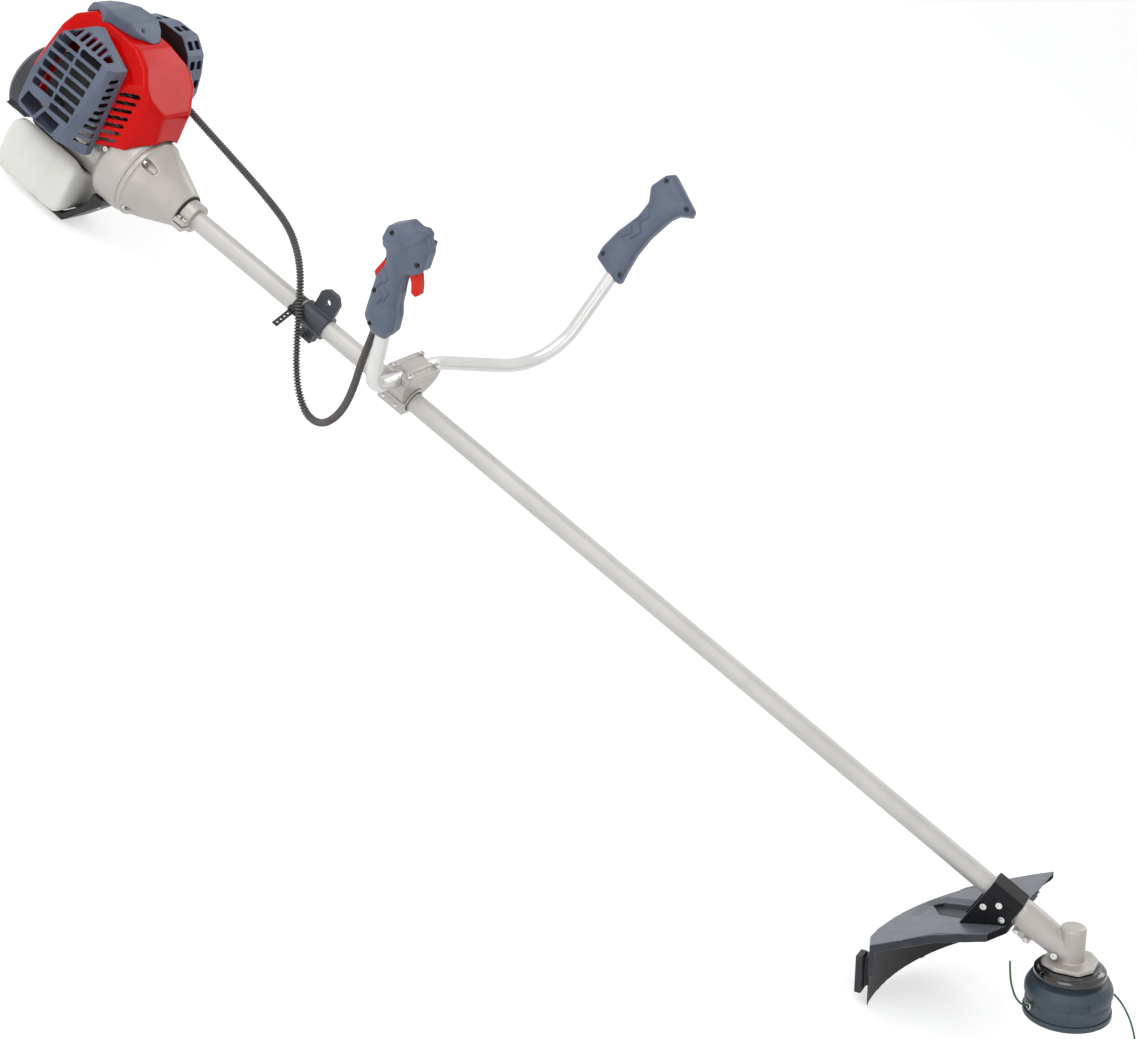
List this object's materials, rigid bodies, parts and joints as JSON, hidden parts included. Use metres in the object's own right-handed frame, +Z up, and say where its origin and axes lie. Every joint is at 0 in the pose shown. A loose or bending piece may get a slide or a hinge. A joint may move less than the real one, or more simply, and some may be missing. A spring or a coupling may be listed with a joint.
{
  "type": "string trimmer",
  "caption": "Petrol string trimmer with a bike handlebar: long drive tube, engine under a red shroud, grips, corrugated conduit, guard and bump-feed line head.",
  "frame": {"origin": "on the floor under the middle of the box around the trimmer as it lies, its conduit and line strands left out of that box", "axes": "+X runs along the drive tube from the engine to the cutting head, +Y to the left grip, +Z up"},
  "size_m": [2.0379, 0.5249, 0.529],
  "materials": {
    "tube_aluminium": "satin anodised",
    "cast_aluminium": "fine sand-cast and painted silver",
    "engine_aluminium": "as cast",
    "steel": "ground",
    "bright_screws": "zinc plated",
    "red_plastic": "glossy moulded",
    "lever_red": "moulded",
    "slate_plastic": "finely textured",
    "guard_plastic": "satin moulded",
    "dark_plastic": "finely textured",
    "tank_plastic": "milky, blow moulded",
    "black_plastic": "moulded",
    "head_plastic": "satin moulded",
    "cup_black": "glossy black paint",
    "conduit_plastic": "corrugated",
    "line_nylon": "extruded",
    "rubber": "moulded"
  },
  "bodies": {
    "machine": {"cable_strap": "black_plastic", "carburettor": "engine_aluminium", "clutch_housing": "cast_aluminium", "crankcase": "engine_aluminium", "crankshaft_and_clutch_shoes": "steel", "cylinder": "engine_aluminium", "drive_tube": "tube_aluminium", "engine_shroud": "red_plastic", "fan_case": "cast_aluminium", "filter_base": "black_plastic", "filter_cover": "slate_plastic", "flywheel_fan": "engine_aluminium", "fuel_tank": "tank_plastic", "gear_case": "cast_aluminium", "guard_bracket": "dark_plastic", "guard_shell": "guard_plastic", "guard_skirt": "guard_plastic", "ignition_parts": "black_plastic", "line_cutter": "steel", "machine_screws": "bright_screws", "mount_body": "cast_aluminium", "mount_cap": "cast_aluminium", "mount_lower_clamp": "cast_aluminium", "muffler": "steel", "muffler_grille": "slate_plastic", "piston_and_rod": "engine_aluminium", "rubber_bushes": "rubber", "shaft_bearings": "steel", "starter_case": "dark_plastic", "starter_rope": "black_plastic", "tank_foot": "black_plastic", "throttle_conduit": "conduit_plastic", "top_cap": "slate_plastic", "tube_clamp": "cast_aluminium"},
    "handlebar_unit": {"handlebar": "tube_aluminium", "throttle_grip_near": "slate_plastic", "throttle_grip_far": "slate_plastic", "grip_screws": "bright_screws", "left_grip_near": "slate_plastic", "left_grip_far": "slate_plastic"},
    "trigger": {"throttle_trigger": "lever_red"},
    "lockout": {"lockout_lever": "lever_red"},
    "switch": {"stop_switch": "lever_red"},
    "head": {"output_shaft": "steel", "blade_cup": "cup_black", "head_shell": "head_plastic", "head_lower_cap": "head_plastic", "bump_spring": "steel", "line_strand_near": "line_nylon", "line_strand_far": "line_nylon"},
    "drive": {"clutch_drum": "steel", "drive_shaft": "steel"},
    "knob": {"bump_knob": "head_plastic"},
    "spool": {"line_spool": "black_plastic"},
    "pull_handle": {"starter_handle": "black_plastic"},
    "reel": {"starter_reel": "black_plastic"},
    "cap_of_tank": {"fuel_cap": "black_plastic"},
    "choke": {"choke_lever": "black_plastic"},
    "primer": {"primer_bulb": "rubber"},
    "hanger": {"harness_hanger": "dark_plastic"}
  },
  "joints": [
    {"name": "handlebar_tilt", "type": "hinge", "parent": "machine", "child": "handlebar_unit", "pos_m": [-0.27014, -0.0912, 0.18599], "axis": [0, 1, 0], "range_deg": [-15, 15], "deforming": ["throttle_conduit"]},
    {"name": "throttle_pull", "type": "hinge", "parent": "handlebar_unit", "child": "trigger", "pos_m": [-0.29687, -0.23638, 0.38534], "axis": [-0.0075, 0.9849, 0.1728], "range_deg": [0, 12], "stiffness_Nm_per_rad": 0.3, "springref_deg": -8.59},
    {"name": "lockout_press", "type": "hinge", "parent": "handlebar_unit", "child": "lockout", "pos_m": [-0.33138, -0.23447, 0.37295], "axis": [0.0075, -0.9849, -0.1728], "range_deg": [0, 10], "stiffness_Nm_per_rad": 0.15, "springref_deg": -8.59},
    {"name": "switch_slide", "type": "slide", "parent": "handlebar_unit", "child": "switch", "axis": [-0.237, -0.1696, 0.9566], "range_m": [0, 0.004]},
    {"name": "head_spin", "type": "hinge", "parent": "machine", "child": "head", "pos_m": [0.8926, -0.0912, 0.2032], "axis": [-0.5763, 0, 0.8172], "continuous": true, "deforming": ["line_strand_near", "line_strand_far"]},
    {"name": "drive_spin", "type": "hinge", "parent": "machine", "child": "drive", "pos_m": [-0.75326, -0.0912, 0.13209], "axis": [0.9991, 0, 0.0432], "continuous": true},
    {"name": "bump_press", "type": "slide", "parent": "head", "child": "knob", "axis": [-0.5763, 0, 0.8172], "range_m": [0, 0.005], "stiffness_N_per_m": 2000, "springref_m": -0.004, "deforming": ["bump_spring"]},
    {"name": "spool_turn", "type": "hinge", "parent": "knob", "child": "spool", "pos_m": [0.93871, -0.0912, 0.13782], "axis": [-0.5763, 0, 0.8172], "continuous": true},
    {"name": "starter_pull", "type": "slide", "parent": "machine", "child": "pull_handle", "axis": [0, 1, 0], "range_m": [0, 0.6], "stiffness_N_per_m": 8, "springref_m": -0.5, "deforming": ["starter_rope"]},
    {"name": "reel_turn", "type": "hinge", "parent": "machine", "child": "reel", "pos_m": [-0.95459, -0.0912, 0.1354], "axis": [0.9991, 0, 0.0432], "range_deg": [-1440, 0]},
    {"name": "cap_turn", "type": "hinge", "parent": "machine", "child": "cap_of_tank", "pos_m": [-0.89984, -0.0312, 0.04968], "axis": [0, 1, 0], "continuous": true},
    {"name": "choke_turn", "type": "hinge", "parent": "machine", "child": "choke", "pos_m": [-0.8952, -0.0262, 0.174], "axis": [0, -1, 0], "range_deg": [0, 75]},
    {"name": "primer_press", "type": "slide", "parent": "machine", "child": "primer", "axis": [-0.0432, 0, 0.9991], "range_m": [0, 0.004], "stiffness_N_per_m": 600, "springref_m": -0.002},
    {"name": "hanger_slide", "type": "slide", "parent": "machine", "child": "hanger", "axis": [0.9991, 0, 0.0432], "range_m": [0, 0.06]}
  ],
  "couplings": [
    {"joint": "drive_spin", "follows": "head_spin", "ratio": 1.3571},
    {"joint": "reel_turn", "follows": "starter_pull", "rad_per_m": -40.984}
  ]
}
